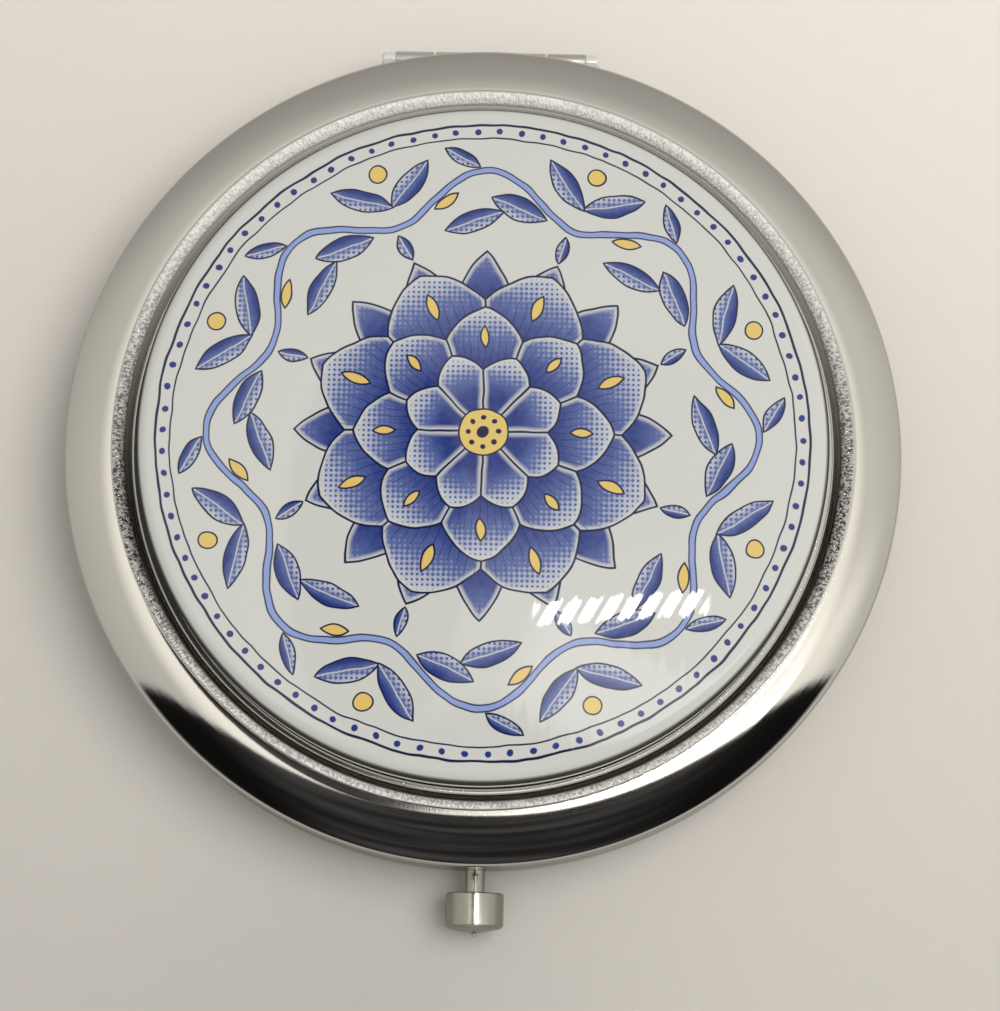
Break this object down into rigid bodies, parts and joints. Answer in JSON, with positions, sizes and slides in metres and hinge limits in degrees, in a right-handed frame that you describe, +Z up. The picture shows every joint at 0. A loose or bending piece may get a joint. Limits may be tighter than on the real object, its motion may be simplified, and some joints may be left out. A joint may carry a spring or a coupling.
{
  "type": "compact mirror",
  "caption": "Closed round pocket mirror with a domed metal rim, a decorated disc in the lid, a barrel hinge at the back and a push knob at the front.",
  "frame": {"origin": "centre of the flat bottom that the closed case lies on", "axes": "+Z up out of the lid, +Y to the hinge at the back, -Y to the push knob, +X along the hinge pin; the lid is closed at rest"},
  "size_m": [0.07, 0.0762, 0.0119],
  "materials": {
    "polished_case": "mirror polished plate, faintly rough along the tight inner bend of the rim",
    "polished_tray": "bright plated sheet",
    "glazed_disc": "high gloss glaze over a blue and white print",
    "adhesive": "cured adhesive layer",
    "mirror_glass": "silvered glass",
    "foam": "closed cell foam tape",
    "card": "grey-brown board",
    "hinge_metal": "plated sheet, slightly satin",
    "rivet_metal": "plated steel",
    "latch_metal": "plain plated steel",
    "pin_metal": "bright pressed ends",
    "knob_metal": "turned and plated",
    "spring_steel": "drawn wire"
  },
  "bodies": {
    "base": {"base_shell": "polished_case", "base_tray": "polished_tray", "base_mirror": "mirror_glass", "base_mirror_pad": "foam", "base_spacer": "card", "base_hinge_leaf": "hinge_metal", "base_leaf_rivets": "rivet_metal", "hinge_pin": "pin_metal", "pin_end_caps": "pin_metal", "latch_bracket": "latch_metal", "bracket_rivets": "rivet_metal", "latch_spring": "spring_steel"},
    "lid": {"lid_shell": "polished_case", "lid_disc": "glazed_disc", "disc_adhesive": "adhesive", "lid_tray": "polished_tray", "lid_mirror": "mirror_glass", "lid_mirror_pad": "foam", "lid_hinge_leaf": "hinge_metal", "lid_leaf_rivets": "rivet_metal", "lid_hook": "latch_metal", "hook_rivets": "rivet_metal"},
    "button": {"push_knob": "knob_metal", "catch_plate": "latch_metal"}
  },
  "joints": [
    {"name": "lid_hinge", "type": "hinge", "parent": "base", "child": "lid", "pos_m": [0, 0.03505, 0.00445], "axis": [-1, 0, 0], "range_deg": [0, 170]},
    {"name": "knob_press", "type": "slide", "parent": "base", "child": "button", "axis": [0, 1, 0], "range_m": [0, 0.001], "stiffness_N_per_m": 500, "deforming": ["latch_spring"]}
  ]
}
